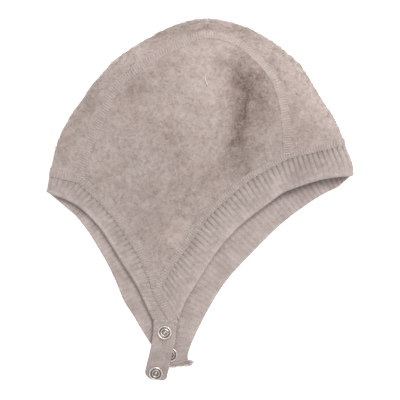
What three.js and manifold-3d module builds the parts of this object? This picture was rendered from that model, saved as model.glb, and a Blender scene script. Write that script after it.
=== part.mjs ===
import * as THREE from 'three';
import { mergeVertices } from 'three/addons/utils/BufferGeometryUtils.js';
import Module from 'manifold-3d';

// A baby's bonnet of wool fleece with ribbed knit bands and a chin strap, lying on one side.
// +X runs from the nape to the forehead, +Y from the chin strap to the crown, +Z up from the
// surface. The far layer lies flat on it, and the near layer is puffed up over the head hollow.

// Driving sizes, in millimetres
const capLength = 216; // nape to forehead
const capHeight = 253; // crown to the tip of the chin strap
const fleeceThick = 2.8;
const ribThick = 2.2;
const ribRelief = 0.3; // how far a knitted rib stands out and a furrow sinks in
const ribPitch = 3.7;
const crownPuff = 24; // how far the dome of the near layer rises above the folded layers
const crownFold = 18; // from layer to layer, mid cloth to mid cloth, behind the crown fold
const napeFold = 6;
const frontFold = 10;
const frontBow = 2.2; // how far the front band's fold bows out between its seam and its rim
const rimBow = 1.8; // how far the near rim bows up beside the front corner
const snapRadius = 4.9;
const snapRingHeight = 0.9;
const snapBaseRadius = 4;
const snapBaseHeight = 1;
const snapNeckRadius = 2.4;
const snapSides = 16;

// Clearances
const seamGap = 0.5; // between the cut edges that a seam joins
const restGap = 0.3; // between what lies on what

// Shares of the cap's length over which the dome rises from the fold and from the rim
const domeReach = 0.33 * capLength;
const rimReach = 0.36 * capLength;
const rimBlend = 0.04 * capLength;
const bowPeak = 1.7; // moves the bow's widest place from the middle of the band towards its rim
const tipTrim = 0.01; // share of a side panel's width that is cut off its two pointed ends

// The mid plane of a layer that lies flat, and the spread of two layers that lie on each other
const layMid = Math.max(fleeceThick / 2, ribThick / 2 + ribRelief);
const chinSpread = 2 * layMid + restGap;
const chinMid = layMid + chinSpread;

// Heights where the layers start to part, where they are apart by a band's fold, and by the crown's
const napePartingY = -0.02 * capHeight;
const frontPartingY = -0.22 * capHeight;
const bandFoldY = 0.07 * capHeight;
const crownFoldY = 0.45 * capHeight;

// Mesh fineness
const sideColumns = 32;
const tipColumn = 14; // the column of a side panel that ends at its lower tip
const sideRows = 16;
const farRows = 4;
const foldRows = 7; // across the centre panel, from the fold to each seam
const bandMiddle = 0.65; // the middle row of a band, at the widest place of the bow
const foldShare = 0.2; // of a band half's parameter, for the stretch that turns round the fold
const pathSteps = 12 * sideColumns;
const rimSteps = 48;
const bowSteps = 40;
const creaseSteps = 16;
const tabRows = 4;
const nearTabColumns = 12;
const farTabColumns = 6;
const foldSlack = 0.01; // a point this near the fold line counts as on it

// In the tables, X and Y are shares of the cap's length and height, measured from its middle.
function table(columns, rows) {
  const names = columns.split(' ');
  return rows.map((row) => Object.fromEntries(names.map((name, i) => [name, row[i]])));
}

// Sections of the centre panel from nape to forehead: outline, near seam and far seam
const centreRows = table('edgeX edgeY nearX nearY farX farY', [
  [-0.486, 0.079, -0.386, 0.059, -0.357, 0.004],
  [-0.451, 0.181, -0.364, 0.128, -0.309, 0.128],
  [-0.380, 0.278, -0.315, 0.225, -0.247, 0.198],
  [-0.282, 0.380, -0.250, 0.322, -0.161, 0.265],
  [-0.169, 0.446, -0.153, 0.384, -0.070, 0.304],
  [-0.078, 0.483, -0.071, 0.420, -0.014, 0.323],
  [0.016, 0.500, 0.016, 0.450, 0.016, 0.328],
  [0.130, 0.483, 0.117, 0.431, 0.073, 0.325],
  [0.218, 0.446, 0.185, 0.385, 0.120, 0.319],
  [0.315, 0.380, 0.237, 0.330, 0.199, 0.291],
  [0.393, 0.280, 0.263, 0.269, 0.287, 0.225],
  [0.444, 0.210, 0.276, 0.200, 0.349, 0.176],
  [0.468, 0.162, 0.283, 0.124, 0.403, 0.123],
]);
const napeEnd = centreRows[0];
const frontEnd = centreRows.at(-1);

// Where the outline's fold runs out at the rim, and the tips where the bands meet below the panels
const corners = table('cornerX cornerY', [
  [-0.498, 0.020],
  [0.495, 0.066],
]);
const nearTip = [-0.138, -0.242];
const nearLapEnd = [-0.070, -0.333];
const farTip = [-0.104, -0.316];
const farLapEnd = [-0.094, -0.398];

// Sections of the bands from the fold's seam down to the tip
const bandColumns = 'seamX seamY rimX rimY';
const napeNearRows = table(bandColumns, [
  [napeEnd.nearX, napeEnd.nearY, -0.435, 0.001],
  [-0.350, 0.030, -0.402, -0.014],
  [-0.311, -0.001, -0.365, -0.040],
  [-0.267, -0.045, -0.325, -0.077],
  [-0.227, -0.094, -0.289, -0.123],
  [-0.189, -0.145, -0.255, -0.171],
  [-0.162, -0.194, -0.224, -0.212],
  [...nearTip, -0.200, -0.245],
]);
const napeFarRows = table(bandColumns, [
  [napeEnd.farX, napeEnd.farY, -0.403, -0.043],
  [-0.305, -0.046, -0.363, -0.087],
  [-0.266, -0.096, -0.331, -0.131],
  [-0.230, -0.148, -0.298, -0.180],
  [-0.198, -0.200, -0.273, -0.225],
  [-0.169, -0.250, -0.246, -0.280],
  [-0.136, -0.286, -0.217, -0.319],
  [...farTip, -0.190, -0.358],
]);
const frontNearRows = table(bandColumns, [
  [frontEnd.nearX, frontEnd.nearY, 0.312, 0.034],
  [0.227, 0.099, 0.273, 0.021],
  [0.152, 0.062, 0.211, -0.017],
  [0.081, 0.011, 0.152, -0.055],
  [0.023, -0.037, 0.098, -0.100],
  [-0.026, -0.093, 0.050, -0.150],
  [-0.071, -0.148, 0.005, -0.210],
  [-0.113, -0.203, -0.046, -0.283],
  [...nearTip, ...nearLapEnd],
]);
const frontFarRows = table(bandColumns, [
  [frontEnd.farX, frontEnd.farY, 0.451, 0.037],
  [0.347, 0.087, 0.399, 0.015],
  [0.282, 0.045, 0.337, -0.019],
  [0.201, -0.010, 0.261, -0.069],
  [0.100, -0.087, 0.174, -0.142],
  [0.013, -0.170, 0.088, -0.222],
  [-0.045, -0.241, 0.040, -0.285],
  [...farTip, 0.003, -0.343],
]);

// The rim of each band beyond its tip, where it laps over the other band down to the chin strap
const napeNearLap = table('rimX rimY', [
  [-0.180, -0.283],
  [-0.152, -0.333],
]);
const napeFarLap = table('rimX rimY', [[-0.160, -0.398]]);
const frontFarLap = table('rimX rimY', [[-0.027, -0.398]]);

// Chin tabs from the bands to their free ends; lift is a share of the tab's own lift
const nearTabRows = table('leftX leftY rightX rightY lift', [
  [-0.152, -0.333, -0.070, -0.333, 0],
  [-0.152, -0.366, -0.078, -0.366, 0.75],
  [-0.157, -0.397, -0.080, -0.397, 1],
  [-0.165, -0.429, -0.091, -0.429, 1.05],
  [-0.174, -0.460, -0.098, -0.460, 0.8],
  [-0.177, -0.480, -0.104, -0.480, 0],
  [-0.163, -0.494, -0.108, -0.494, -0.5],
  [-0.146, -0.499, -0.117, -0.499, -0.7],
]);
const farTabRows = table('leftX leftY rightX rightY lift', [
  [-0.160, -0.398, -0.027, -0.398, 0.5],
  [-0.140, -0.421, -0.036, -0.421, 1],
  [-0.124, -0.443, -0.039, -0.436, 1],
  [-0.110, -0.466, -0.034, -0.447, 0.8],
]);

// Snaps, placed by shares along and across their tab
const nearSnaps = table('along across', [
  [0.15, 0.51],
  [0.70, 0.47],
]);
const farSnap = { along: 0.47, across: 0.4 };

// The two rings of a snap, from its rim to its middle: radius as a share of its own, and height
const snapFurrow = 0.4; // the height of the furrow between the rings, as a share of theirs
const snapRingRows = table('radius at', [
  [1, 'furrow'],
  [0.9, 'crest'],
  [0.72, 'crest'],
  [0.62, 'furrow'],
  [0.5, 'furrow'],
  [0.42, 'crest'],
  [0.24, 'crest'],
  [0.16, 'furrow'],
  [0, 'furrow'],
]);

// Creases and ridges of the near layer; depth and width are shares of the cap's length
const creaseRows = table('startX startY bendX bendY endX endY depth width', [
  [0.104, 0.380, 0.162, 0.257, 0.065, 0.095, 0.019, 0.026],
  [-0.035, 0.388, 0.097, 0.188, -0.003, 0.060, -0.010, 0.055],
  [0.200, 0.290, 0.250, 0.200, 0.180, 0.100, -0.009, 0.040],
  [-0.290, 0.180, -0.230, 0.080, -0.130, -0.060, 0.008, 0.090],
]);

function evenly(from, to, steps) {
  return Array.from({ length: steps + 1 }, (_, i) => THREE.MathUtils.lerp(from, to, i / steps));
}

function planPoint(row, name) {
  return new THREE.Vector3(row[name + 'X'] * capLength, row[name + 'Y'] * capHeight, 0);
}

function planCurve(rows, name) {
  return new THREE.CatmullRomCurve3(rows.map((row) => planPoint(row, name)), false, 'centripetal');
}

// The point of a path nearest to (x, y): its distance, and its share of the path's steps
function nearestOn(path, x, y) {
  let best = { distance: Infinity, share: 0 };
  for (let i = 1; i < path.length; i += 1) {
    const from = path[i - 1];
    const stepX = path[i].x - from.x;
    const stepY = path[i].y - from.y;
    const projected = (x - from.x) * stepX + (y - from.y) * stepY;
    const t = THREE.MathUtils.clamp(projected / (stepX * stepX + stepY * stepY), 0, 1);
    const distance = Math.hypot(x - from.x - t * stepX, y - from.y - t * stepY);
    if (distance < best.distance) best = { distance, share: (i - 1 + t) / (path.length - 1) };
  }
  return best;
}

const nearSeam = planCurve(centreRows, 'near');
const farSeam = planCurve(centreRows, 'far');

// The fold: the cloth's mid line inside the outline, from the nape corner over the crown
const edgeCurve = planCurve(centreRows, 'edge');
const napeCorner = planPoint(corners[0], 'corner').add(new THREE.Vector3(layMid, 0, 0));
const frontCorner = planPoint(corners[1], 'corner').sub(new THREE.Vector3(layMid, 0, 0));

function foldPoint(s) {
  const tangent = edgeCurve.getTangent(s);
  const inward = new THREE.Vector3(tangent.y, -tangent.x, 0);
  return edgeCurve.getPoint(s).addScaledVector(inward, layMid);
}

// How far the front fold bows out, at a share of the way from its seam to its rim
function bowAt(share) {
  return frontBow * Math.sin(Math.PI * share ** bowPeak);
}

const foldPath = [napeCorner];
for (let i = 0; i <= pathSteps; i += 1) foldPath.push(foldPoint(i / pathSteps));
for (let i = 1; i <= bowSteps; i += 1) {
  const bowed = foldPoint(1).lerp(frontCorner, i / bowSteps);
  bowed.x += bowAt(i / bowSteps);
  foldPath.push(bowed);
}

// One half of a band, as a function from the fold (0) to the chin (1) that gives the plan of its
// two edges. Beyond the tip its inner edge is the straight lap line.
function bandHalf(foldSeam, foldRim, rows, lapRows, lapEnd, rimLift = 0) {
  const seam = planCurve(rows, 'seam');
  const rim = planCurve([...rows, ...lapRows], 'rim');
  const tip = seam.getPoint(1);
  const end = new THREE.Vector3(lapEnd[0] * capLength, lapEnd[1] * capHeight, 0);
  const tipAt = (rows.length - 1) / (rows.length + lapRows.length - 1);
  return (h) => {
    if (h < foldShare) {
      const reach = 1 - Math.cos((h / foldShare) * (Math.PI / 2));
      const foldedRim = foldRim.clone().lerp(rim.getPoint(0), reach);
      foldedRim.y += rimLift * Math.sin(Math.PI * reach);
      return {
        seam: foldSeam.clone().lerp(seam.getPoint(0), reach),
        rim: foldedRim,
        bow: 1 - reach,
      };
    }
    const t = (h - foldShare) / (1 - foldShare);
    const onLap = t > tipAt;
    return {
      seam: onLap ? tip.clone().lerp(end, (t - tipAt) / (1 - tipAt)) : seam.getPoint(t / tipAt),
      rim: rim.getPoint(t),
      bow: 0,
    };
  };
}

const napeNear = bandHalf(foldPoint(0), napeCorner, napeNearRows, napeNearLap, nearLapEnd);
const napeFar = bandHalf(foldPoint(0), napeCorner, napeFarRows, napeFarLap, farLapEnd);
const frontNear = bandHalf(foldPoint(1), frontCorner, frontNearRows, [], nearLapEnd, rimBow);
const frontFar = bandHalf(foldPoint(1), frontCorner, frontFarRows, frontFarLap, farLapEnd);

// The near layer's rims, each from its corner to the middle of the chin
const chinMiddle = planPoint(nearTabRows[0], 'left').lerp(planPoint(nearTabRows[0], 'right'), 0.5);
const nearRimPaths = [napeNear, frontNear].map((half) => {
  return [...evenly(0, 1, rimSteps).map((h) => half(h).rim), chinMiddle];
});

// How far a point lies from the rims, with the ridge between the two rounded off
function rimDistance(x, y) {
  const nearness = nearRimPaths.map((path) => Math.exp(-nearestOn(path, x, y).distance / rimBlend));
  return -rimBlend * Math.log(nearness[0] + nearness[1]);
}

const creasePaths = creaseRows.map((row) => {
  const ends = ['start', 'bend', 'end'].map((name) => planPoint(row, name));
  return new THREE.QuadraticBezierCurve3(...ends).getPoints(creaseSteps);
});

// The spread from layer to layer away from the fold, least at the chin and most at the crown
function layerSpread(x, y) {
  const sideways = THREE.MathUtils.smoothstep(x, -capLength / 2, capLength / 2);
  const partingY = THREE.MathUtils.lerp(napePartingY, frontPartingY, sideways);
  const upFromChin = THREE.MathUtils.smoothstep(y, partingY, bandFoldY);
  const upToCrown = THREE.MathUtils.smoothstep(y, bandFoldY, crownFoldY);
  const atBand = THREE.MathUtils.lerp(napeFold, frontFold, sideways);
  const low = THREE.MathUtils.lerp(chinSpread, atBand, upFromChin);
  return THREE.MathUtils.lerp(low, crownFold, upToCrown);
}

function creaseDepth(x, y) {
  return creaseRows.reduce((sum, row, i) => {
    const { distance, share } = nearestOn(creasePaths[i], x, y);
    const fade = Math.sqrt(4 * share * (1 - share));
    return sum + row.depth * capLength * fade * Math.exp(-((distance / (row.width * capLength)) ** 2));
  }, 0);
}

// How far a fold of this radius has turned towards flat, at a distance from its line
function turned(distance, radius) {
  const left = 1 - Math.min(distance / radius, 1);
  return Math.sqrt(1 - left * left);
}

function foldDistance(x, y) {
  return Math.max(0, nearestOn(foldPath, x, y).distance - foldSlack);
}

function nearHeight(x, y) {
  const fold = foldDistance(x, y);
  const radius = layerSpread(x, y) / 2;
  const fromFold = 1 - (1 - Math.min(fold / domeReach, 1)) ** 2;
  const fromRim = THREE.MathUtils.smoothstep(rimDistance(x, y), 0, rimReach);
  const dome = fromFold * fromRim * crownPuff;
  return layMid + radius * (1 + turned(fold, radius)) + dome - creaseDepth(x, y) * fromRim * fromFold;
}

function farHeight(x, y) {
  const radius = layerSpread(x, y) / 2;
  return layMid + radius * (1 - turned(foldDistance(x, y), radius));
}

// Each piece of cloth is a function from two parameters to a point on its mid surface.
function centrePoint(s, c) {
  const seam = (c > 0 ? nearSeam : farSeam).getPoint(s);
  const point = foldPoint(s).lerp(seam, 1 - Math.cos(Math.abs(c) * (Math.PI / 2)));
  point.z = (c > 0 ? nearHeight : farHeight)(point.x, point.y);
  return point;
}

function sidePoint(topSeam, napeSeam, frontSeam, height) {
  const tipAt = tipColumn / sideColumns;
  return (s, t) => {
    const top = topSeam.getPoint(s);
    const onNape = s < tipAt;
    const bottom = onNape ? napeSeam.getPoint(s / tipAt) : frontSeam.getPoint((1 - s) / (1 - tipAt));
    const inset = seamGap / top.distanceTo(bottom);
    const point = top.lerp(bottom, THREE.MathUtils.lerp(inset, 1 - inset, t));
    point.z = height(point.x, point.y);
    return point;
  };
}

function bandPoint(nearHalf, farHalf, bowOf) {
  return (k, w) => {
    const onNear = k < 1;
    const { seam, rim, bow } = onNear ? nearHalf(1 - k) : farHalf(k - 1);
    const inset = seamGap / seam.distanceTo(rim);
    const share = THREE.MathUtils.lerp(inset, 1, w);
    const point = seam.lerp(rim, share);
    point.x += bow * bowOf(share);
    point.z = (onNear ? nearHeight : farHeight)(point.x, point.y);
    return point;
  };
}

function tabPoint(rows, mid, lift) {
  const edges = ['left', 'right'].map((name) => {
    const points = rows.map((row) => planPoint(row, name).setZ(mid + row.lift * lift));
    return new THREE.CatmullRomCurve3(points, false, 'centripetal');
  });
  const inset = (0.5 * seamGap) / edges[0].getLength();
  return (a, b) => {
    const t = THREE.MathUtils.lerp(inset, 1, a);
    return edges[0].getPoint(t).lerp(edges[1].getPoint(t), b);
  };
}

// The normal of a surface, whose parameters run over the ranges that are given with it
function normalAt(pointAt, u, v, [uStart, uEnd] = [0, 1], [vStart, vEnd] = [0, 1]) {
  const step = 1e-3;
  const along = pointAt(Math.min(u + step, uEnd), v).sub(pointAt(Math.max(u - step, uStart), v));
  const across = pointAt(u, Math.min(v + step, vEnd)).sub(pointAt(u, Math.max(v - step, vStart)));
  return along.cross(across).normalize();
}

function welded(geometry) {
  geometry.deleteAttribute('normal');
  geometry.deleteAttribute('uv');
  const closed = mergeVertices(geometry);
  closed.computeVertexNormals();
  return closed;
}

// A closed slab of cloth on a mid surface, with a row of corners for each value of its parameters
function clothSlab(pointAt, uValues, vValues, thickness, ripple = () => 0) {
  const uRange = [uValues[0], uValues.at(-1)];
  const vRange = [vValues[0], vValues.at(-1)];
  const columns = uValues.length - 1;
  const rows = vValues.length - 1;
  const slab = new THREE.BoxGeometry(1, 1, 1, columns, rows, 1);
  const position = slab.attributes.position;
  for (let i = 0; i < position.count; i += 1) {
    const column = Math.round((position.getX(i) + 0.5) * columns);
    const row = Math.round((position.getY(i) + 0.5) * rows);
    const side = Math.sign(position.getZ(i));
    const [u, v] = [uValues[column], vValues[row]];
    const offset = (side * thickness) / 2 + ripple(column);
    const point = pointAt(u, v).addScaledVector(normalAt(pointAt, u, v, uRange, vRange), offset);
    position.setXYZ(i, point.x, point.y, point.z);
  }
  return welded(slab);
}

// A band's first parameter runs from its near end (0) over the fold (1) to its far end
const bandEnd = 2;

// A band's mid line, which spaces the ribs evenly
class MidLine extends THREE.Curve {
  constructor(pointAt, end) {
    super();
    this.pointAt = pointAt;
    this.end = end;
    this.arcLengthDivisions = 800;
  }

  getPoint(t) {
    return this.pointAt(t * this.end, 0.5);
  }
}

function bandGeometry(pointAt) {
  const line = new MidLine(pointAt, bandEnd);
  const ribs = Math.round(line.getLength() / ribPitch);
  const trim = (0.5 * seamGap) / line.getLength();
  const shares = evenly(trim, 1 - trim, 2 * ribs);
  const kValues = shares.map((share) => line.getUtoTmapping(share) * bandEnd);
  const ripple = (column) => (column % 2 ? ribRelief : -ribRelief);
  return clothSlab(pointAt, kValues, [0, bandMiddle, 1], ribThick, ripple);
}

function snapGeometry() {
  const seat = ribThick / 2 + restGap;
  const crest = seat + snapRingHeight;
  const furrow = seat + snapFurrow * snapRingHeight;
  const heights = { crest, furrow };
  const base = [
    [0, -seat - snapBaseHeight],
    [snapBaseRadius, -seat - snapBaseHeight],
    [snapBaseRadius, -seat],
    [snapNeckRadius, -seat],
    [snapNeckRadius, seat],
    [snapRadius, seat],
  ];
  const rings = snapRingRows.map(({ radius, at }) => [radius * snapRadius, heights[at]]);
  const profile = [...base, ...rings];
  const outline = profile.map(([r, z]) => new THREE.Vector2(r, z));
  const turnedRing = new THREE.LatheGeometry(outline, snapSides);
  return welded(turnedRing.rotateX(Math.PI / 2));
}

// The place of a snap: the tab's mid surface, with +Z along its normal
function snapPlace(pointAt, { along, across }) {
  const up = new THREE.Vector3(0, 0, 1);
  const normal = normalAt(pointAt, along, across);
  const turn = new THREE.Quaternion().setFromUnitVectors(up, normal.multiplyScalar(Math.sign(normal.z)));
  return { position: pointAt(along, across), turn };
}

const wasm = await Module();
wasm.setup();

function solidOf(geometry) {
  return new wasm.Manifold(new wasm.Mesh({
    numProp: 3,
    vertProperties: Float32Array.from(geometry.attributes.position.array),
    triVerts: Uint32Array.from(geometry.index.array),
  }));
}

// A tab with a hole for the neck of each of its snaps
function tabGeometry(pointAt, columns, snaps) {
  const slab = clothSlab(pointAt, evenly(0, 1, columns), evenly(0, 1, tabRows), ribThick);
  const holeRadius = snapNeckRadius + restGap;
  const pierced = snaps.reduce((solid, snap) => {
    const { position, turn } = snapPlace(pointAt, snap);
    const hole = new THREE.CylinderGeometry(holeRadius, holeRadius, 3 * ribThick, snapSides);
    hole.rotateX(Math.PI / 2).applyQuaternion(turn).translate(...position);
    return solid.subtract(solidOf(welded(hole)));
  }, solidOf(slab));
  const mesh = pierced.getMesh();
  const geometry = new THREE.BufferGeometry();
  geometry.setAttribute('position', new THREE.BufferAttribute(mesh.vertProperties, 3));
  geometry.setIndex(new THREE.BufferAttribute(mesh.triVerts, 1));
  geometry.computeVertexNormals();
  return geometry;
}

const fleece = new THREE.MeshStandardMaterial({ color: 0xb4a29c, roughness: 1, metalness: 0 });
const rib = new THREE.MeshStandardMaterial({ color: 0xb2a19d, roughness: 0.95, metalness: 0 });
const metal = new THREE.MeshStandardMaterial({ color: 0xc9c7c6, roughness: 0.3, metalness: 1 });

const cap = new THREE.Group();

function addPiece(name, geometry, material) {
  const mesh = new THREE.Mesh(geometry, material);
  mesh.name = name;
  cap.add(mesh);
  return mesh;
}

addPiece(
  'centre_panel',
  clothSlab(centrePoint, evenly(0, 1, sideColumns), evenly(-1, 1, 2 * foldRows), fleeceThick),
  fleece,
);

const panelColumns = [tipTrim, ...evenly(0, 1, sideColumns).slice(1, -1), 1 - tipTrim];
const nearPanel = sidePoint(
  nearSeam, planCurve(napeNearRows, 'seam'), planCurve(frontNearRows, 'seam'), nearHeight,
);
const farPanel = sidePoint(
  farSeam, planCurve(napeFarRows, 'seam'), planCurve(frontFarRows, 'seam'), farHeight,
);
const sidePanels = [
  ['near_side_panel', nearPanel, sideRows],
  ['far_side_panel', farPanel, farRows],
];
for (const [name, pointAt, rows] of sidePanels) {
  addPiece(name, clothSlab(pointAt, panelColumns, evenly(0, 1, rows), fleeceThick), fleece);
}

addPiece('nape_band', bandGeometry(bandPoint(napeNear, napeFar, () => 0)), rib);
addPiece('front_band', bandGeometry(bandPoint(frontNear, frontFar, bowAt)), rib);

// The far tab is raised by the snap under it, and the near tab by the far snap's ring
const tabHalf = ribThick / 2;
const farTabMid = snapBaseHeight + restGap + tabHalf;
const nearTabMid = farTabMid + 2 * tabHalf + 2 * restGap + snapRingHeight;
const nearTab = tabPoint(nearTabRows, chinMid, nearTabMid - chinMid);
const farTab = tabPoint(farTabRows, layMid, farTabMid - layMid);
addPiece('near_tab', tabGeometry(nearTab, nearTabColumns, nearSnaps), rib);
addPiece('far_tab', tabGeometry(farTab, farTabColumns, [farSnap]), rib);

const snapList = [
  ['near_snap_upper', nearTab, nearSnaps[0]],
  ['near_snap_lower', nearTab, nearSnaps[1]],
  ['far_snap', farTab, farSnap],
];
for (const [name, tab, share] of snapList) {
  const { position, turn } = snapPlace(tab, share);
  const snap = addPiece(name, snapGeometry(), metal);
  snap.position.copy(position);
  snap.quaternion.copy(turn);
}

// The origin is the middle of the cap's footprint, on the surface
const extent = new THREE.Box3().setFromObject(cap, true);
const middle = extent.getCenter(new THREE.Vector3());
cap.position.set(-middle.x, -middle.y, -extent.min.z);

export default cap;
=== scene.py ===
import math

import bpy
import numpy as np
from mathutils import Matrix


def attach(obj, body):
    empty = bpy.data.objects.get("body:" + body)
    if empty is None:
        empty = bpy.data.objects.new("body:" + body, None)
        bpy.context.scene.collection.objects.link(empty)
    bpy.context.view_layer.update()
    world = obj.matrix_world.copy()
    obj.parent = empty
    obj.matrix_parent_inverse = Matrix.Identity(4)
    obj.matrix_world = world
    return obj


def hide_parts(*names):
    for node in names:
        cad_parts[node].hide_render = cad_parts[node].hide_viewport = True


# A baby's bonnet of wool fleece with ribbed knit bands and a snap strap, lying on one side.
# The cloth follows the same formulas as the part's source. They are in millimetres, and each
# mesh is turned into metres when it is made.

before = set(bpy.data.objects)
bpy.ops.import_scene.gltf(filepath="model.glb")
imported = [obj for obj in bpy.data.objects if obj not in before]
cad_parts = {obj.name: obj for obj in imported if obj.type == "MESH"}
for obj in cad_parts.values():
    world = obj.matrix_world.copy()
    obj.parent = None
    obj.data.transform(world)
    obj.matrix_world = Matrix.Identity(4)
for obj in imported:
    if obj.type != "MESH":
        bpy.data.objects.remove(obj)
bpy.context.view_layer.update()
random = np.random.default_rng(7)

# Sizes of the part's source
CAP_LENGTH = 216
CAP_HEIGHT = 253
FLEECE_THICK = 2.8
RIB_THICK = 2.2
RIB_RELIEF = 0.3
RIB_PITCH = 3.7
CROWN_PUFF = 24
CROWN_FOLD = 18
NAPE_FOLD = 6
FRONT_FOLD = 10
FRONT_BOW = 2.2
RIM_BOW = 1.8
SNAP_RADIUS = 4.9
SNAP_RING_HEIGHT = 0.9
SNAP_BASE_RADIUS = 4
SNAP_BASE_HEIGHT = 1
SNAP_NECK_RADIUS = 2.4
SEAM_GAP = 0.5
REST_GAP = 0.3
DOME_REACH = 0.33 * CAP_LENGTH
RIM_REACH = 0.36 * CAP_LENGTH
RIM_BLEND = 0.04 * CAP_LENGTH
FOLD_SHARE = 0.2
TIP_AT = 14 / 32  # the share of a side panel's length where its lower tip lies
RIM_STEPS = 48
LAY_MID = max(FLEECE_THICK / 2, RIB_THICK / 2 + RIB_RELIEF)
CHIN_SPREAD = 2 * LAY_MID + REST_GAP
CHIN_MID = LAY_MID + CHIN_SPREAD
NAPE_PARTING_Y = -0.02 * CAP_HEIGHT
FRONT_PARTING_Y = -0.22 * CAP_HEIGHT
BAND_FOLD_Y = 0.07 * CAP_HEIGHT
CROWN_FOLD_Y = 0.45 * CAP_HEIGHT
BOW_PEAK = 1.7

# From the source's own origin to the middle of the footprint, where the frame has its origin
TO_FRAME = np.array([0.2067, 0.1652, 0.0])

# Sizes of what is only modelled here
MM = 0.001
CLOTH_STEP = 1.3  # between the corners of a fleece mesh
EDGE_TURNS = 5  # rows of corners that round off an edge
RIB_STEPS = 8  # columns of corners in one rib
FOLD_STEPS = 1536  # along the fold's line
COARSE_STEP = 16
FOLD_SLACK = 0.0005
RIB_DEPTH = 0.28  # half the height from a furrow to the ridge beside it
RIM_ROLL = 0.65  # how much thicker a band is along its folded rim
LUMP_SIZES = {10: 0.30, 3.6: 0.16}  # size and height of the soft lumps in the fleece
SEAM_HALF = 3.4  # half the width of a flat seam
FRONT_SEAM_HALF = 2.6
SEAM_RISE = 0.2
STITCH_PITCH = 1.8
THREAD_RADIUS = 0.23
NAP_CLEAR = 4.2  # how far the nap's longer fibres keep from the seams
FLOOR_CLEARANCE = 0.01


def metres(points):
    return (np.asarray(points) + TO_FRAME) * MM


# The tables of the part's source: X and Y are shares of the cap's length and height
SCALE = np.array([CAP_LENGTH, CAP_HEIGHT])
EDGE, NEAR, FAR = slice(0, 2), slice(2, 4), slice(4, 6)
CENTRE_ROWS = np.array([
    [-0.486, 0.079, -0.386, 0.059, -0.357, 0.004],
    [-0.451, 0.181, -0.364, 0.128, -0.309, 0.128],
    [-0.380, 0.278, -0.315, 0.225, -0.247, 0.198],
    [-0.282, 0.380, -0.250, 0.322, -0.161, 0.265],
    [-0.169, 0.446, -0.153, 0.384, -0.070, 0.304],
    [-0.078, 0.483, -0.071, 0.420, -0.014, 0.323],
    [0.016, 0.500, 0.016, 0.450, 0.016, 0.328],
    [0.130, 0.483, 0.117, 0.431, 0.073, 0.325],
    [0.218, 0.446, 0.185, 0.385, 0.120, 0.319],
    [0.315, 0.380, 0.237, 0.330, 0.199, 0.291],
    [0.393, 0.280, 0.263, 0.269, 0.287, 0.225],
    [0.444, 0.210, 0.276, 0.200, 0.349, 0.176],
    [0.468, 0.162, 0.283, 0.124, 0.403, 0.123],
])
NAPE_CORNER, FRONT_CORNER = [-0.498, 0.020], [0.495, 0.066]
NEAR_TIP, NEAR_LAP_END = [-0.138, -0.242], [-0.070, -0.333]
FAR_TIP, FAR_LAP_END = [-0.104, -0.316], [-0.094, -0.398]

# Sections of the bands: seam and rim
SEAM, RIM = slice(0, 2), slice(2, 4)
NAPE_NEAR_ROWS = np.array([
    [*CENTRE_ROWS[0, NEAR], -0.435, 0.001],
    [-0.350, 0.030, -0.402, -0.014],
    [-0.311, -0.001, -0.365, -0.040],
    [-0.267, -0.045, -0.325, -0.077],
    [-0.227, -0.094, -0.289, -0.123],
    [-0.189, -0.145, -0.255, -0.171],
    [-0.162, -0.194, -0.224, -0.212],
    [*NEAR_TIP, -0.200, -0.245],
])
NAPE_FAR_ROWS = np.array([
    [*CENTRE_ROWS[0, FAR], -0.403, -0.043],
    [-0.305, -0.046, -0.363, -0.087],
    [-0.266, -0.096, -0.331, -0.131],
    [-0.230, -0.148, -0.298, -0.180],
    [-0.198, -0.200, -0.273, -0.225],
    [-0.169, -0.250, -0.246, -0.280],
    [-0.136, -0.286, -0.217, -0.319],
    [*FAR_TIP, -0.190, -0.358],
])
FRONT_NEAR_ROWS = np.array([
    [*CENTRE_ROWS[-1, NEAR], 0.312, 0.034],
    [0.227, 0.099, 0.273, 0.021],
    [0.152, 0.062, 0.211, -0.017],
    [0.081, 0.011, 0.152, -0.055],
    [0.023, -0.037, 0.098, -0.100],
    [-0.026, -0.093, 0.050, -0.150],
    [-0.071, -0.148, 0.005, -0.210],
    [-0.113, -0.203, -0.046, -0.283],
    [*NEAR_TIP, *NEAR_LAP_END],
])
FRONT_FAR_ROWS = np.array([
    [*CENTRE_ROWS[-1, FAR], 0.451, 0.037],
    [0.347, 0.087, 0.399, 0.015],
    [0.282, 0.045, 0.337, -0.019],
    [0.201, -0.010, 0.261, -0.069],
    [0.100, -0.087, 0.174, -0.142],
    [0.013, -0.170, 0.088, -0.222],
    [-0.045, -0.241, 0.040, -0.285],
    [*FAR_TIP, 0.003, -0.343],
])
NAPE_NEAR_LAP = [[-0.180, -0.283], [-0.152, -0.333]]
NAPE_FAR_LAP = [[-0.160, -0.398]]
FRONT_FAR_LAP = [[-0.027, -0.398]]

# Sections of the chin tabs: left edge, right edge, share of the tab's lift
NEAR_TAB_ROWS = np.array([
    [-0.152, -0.333, -0.070, -0.333, 0],
    [-0.152, -0.366, -0.078, -0.366, 0.75],
    [-0.157, -0.397, -0.080, -0.397, 1],
    [-0.165, -0.429, -0.091, -0.429, 1.05],
    [-0.174, -0.460, -0.098, -0.460, 0.8],
    [-0.177, -0.480, -0.104, -0.480, 0],
    [-0.163, -0.494, -0.108, -0.494, -0.5],
    [-0.146, -0.499, -0.117, -0.499, -0.7],
])
FAR_TAB_ROWS = np.array([
    [-0.160, -0.398, -0.027, -0.398, 0.5],
    [-0.140, -0.421, -0.036, -0.421, 1],
    [-0.124, -0.443, -0.039, -0.436, 1],
    [-0.110, -0.466, -0.034, -0.447, 0.8],
])
SNAPS = {  # along and across the tab
    "near_snap_upper": (0.15, 0.51),
    "near_snap_lower": (0.70, 0.47),
    "far_snap": (0.47, 0.4),
}

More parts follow.
